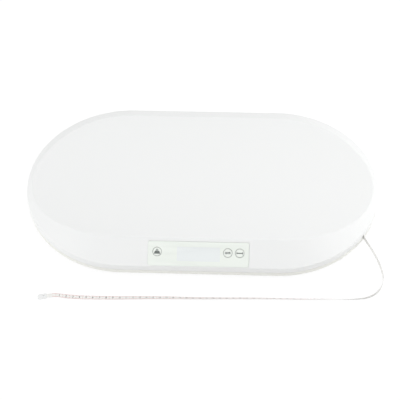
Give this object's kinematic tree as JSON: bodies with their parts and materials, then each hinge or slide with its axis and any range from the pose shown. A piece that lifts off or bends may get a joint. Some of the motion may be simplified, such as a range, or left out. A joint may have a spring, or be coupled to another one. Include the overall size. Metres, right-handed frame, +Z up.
{
  "type": "baby weighing scale",
  "caption": "Low stadium-shaped electronic scale with a long shallow tray, a sloping front display with round keys, load-cell feet and a pull-out measuring tape.",
  "frame": {"origin": "on the ground under the middle of the casing", "axes": "+X along the casing to the right, -Y to the side with the display, +Z up"},
  "size_m": [0.5534, 0.3646, 0.0527],
  "materials": {
    "white_gloss": "smooth gloss moulding",
    "grey_gloss": "satin moulding, slightly darker",
    "window": "clear gloss panel over pale green",
    "lcd": "pale grey display glass",
    "diffuser": "frosted light guide",
    "key_cap": "smooth moulding",
    "strip_rubber": "matt rubber",
    "white_matte": "plain inner moulding",
    "board_green": "solder mask",
    "chip_black": "moulded package",
    "screw_steel": "zinc plated",
    "cell_wrap": "printed wrap, bare",
    "contact_nickel": "nickel plated",
    "cable_cover": "soft cable cover",
    "dark_acetal": "matt dark moulding",
    "tape": "coated glass-fibre cloth",
    "spring_steel": "spring steel",
    "tab_grey": "milky plastic",
    "rivet_dark": "dark eyelet",
    "foot_grey": "matt moulding",
    "foot_rubber": "soft grey rubber",
    "cell_steel": "stamped steel"
  },
  "bodies": {
    "casing": {"top_shell": "white_gloss", "base_shell": "grey_gloss", "casing_screws": "screw_steel", "display_window": "window", "lcd_glass": "lcd", "lcd_backlight": "diffuser", "lcd_contact_strips": "strip_rubber", "lcd_frame": "white_matte", "display_board": "board_green", "board_chips": "chip_black", "board_screws": "screw_steel", "key_switches": "chip_black", "battery_box": "white_matte", "battery_cells": "cell_wrap", "battery_contacts": "contact_nickel", "battery_leads": "cable_cover", "cell_cables": "cable_cover", "tape_case": "white_matte", "tape_case_lid": "white_matte", "tape_guide": "dark_acetal", "reel_axle": "screw_steel", "tape_lead": "tape", "release_spring": "spring_steel", "measuring_tape": "tape", "tape_end_tab": "tab_grey", "tape_end_rivet": "rivet_dark", "load_cell_front_left": "cell_steel", "load_cell_front_right": "cell_steel", "load_cell_rear_left": "cell_steel", "load_cell_rear_right": "cell_steel", "cell_holder_front_left": "white_matte", "cell_holder_front_right": "white_matte", "cell_holder_rear_left": "white_matte", "cell_holder_rear_right": "white_matte"},
    "battery_cover": {"battery_cover": "grey_gloss"},
    "reel": {"tape_reel": "white_matte", "tape_coil": "tape", "rewind_spring": "spring_steel"},
    "release": {"release_button": "key_cap", "brake_pad": "strip_rubber"},
    "zero_key": {"zero_key": "key_cap"},
    "unit_key": {"unit_key": "key_cap"},
    "hold_key": {"hold_key": "key_cap"},
    "foot_front_left": {"foot_cup_front_left": "foot_grey", "foot_pad_front_left": "foot_rubber", "foot_clip_front_left": "spring_steel"},
    "foot_front_right": {"foot_cup_front_right": "foot_grey", "foot_pad_front_right": "foot_rubber", "foot_clip_front_right": "spring_steel"},
    "foot_rear_left": {"foot_cup_rear_left": "foot_grey", "foot_pad_rear_left": "foot_rubber", "foot_clip_rear_left": "spring_steel"},
    "foot_rear_right": {"foot_cup_rear_right": "foot_grey", "foot_pad_rear_right": "foot_rubber", "foot_clip_rear_right": "spring_steel"}
  },
  "joints": [
    {"name": "zero_key_press", "type": "slide", "parent": "casing", "child": "zero_key", "axis": [0, 0.5963, -0.8027], "range_m": [0, 0.0005], "stiffness_N_per_m": 400, "springref_m": -0.0002},
    {"name": "unit_key_press", "type": "slide", "parent": "casing", "child": "unit_key", "axis": [0, 0.5963, -0.8027], "range_m": [0, 0.0005], "stiffness_N_per_m": 400, "springref_m": -0.0002},
    {"name": "hold_key_press", "type": "slide", "parent": "casing", "child": "hold_key", "axis": [0, 0.5963, -0.8027], "range_m": [0, 0.0005], "stiffness_N_per_m": 400, "springref_m": -0.0002},
    {"name": "foot_front_left_drop", "type": "slide", "parent": "casing", "child": "foot_front_left", "axis": [0, 0, -1], "range_m": [0, 0.0006]},
    {"name": "foot_front_right_drop", "type": "slide", "parent": "casing", "child": "foot_front_right", "axis": [0, 0, -1], "range_m": [0, 0.0006]},
    {"name": "foot_rear_left_drop", "type": "slide", "parent": "casing", "child": "foot_rear_left", "axis": [0, 0, -1], "range_m": [0, 0.0006]},
    {"name": "foot_rear_right_drop", "type": "slide", "parent": "casing", "child": "foot_rear_right", "axis": [0, 0, -1], "range_m": [0, 0.0006]},
    {"name": "battery_cover_hinge", "type": "hinge", "parent": "casing", "child": "battery_cover", "pos_m": [0.02455, 0.04, 0.009], "axis": [0, -1, 0], "range_deg": [0, 100]},
    {"name": "reel_spin", "type": "hinge", "parent": "casing", "child": "reel", "pos_m": [0.20617, -0.05497, 0.0166], "axis": [0, 0, 1], "continuous": true},
    {"name": "tape_release_press", "type": "slide", "parent": "casing", "child": "release", "axis": [0, 0, 1], "range_m": [0, 0.002], "stiffness_N_per_m": 300, "springref_m": -0.001, "deforming": ["release_spring"]}
  ]
}
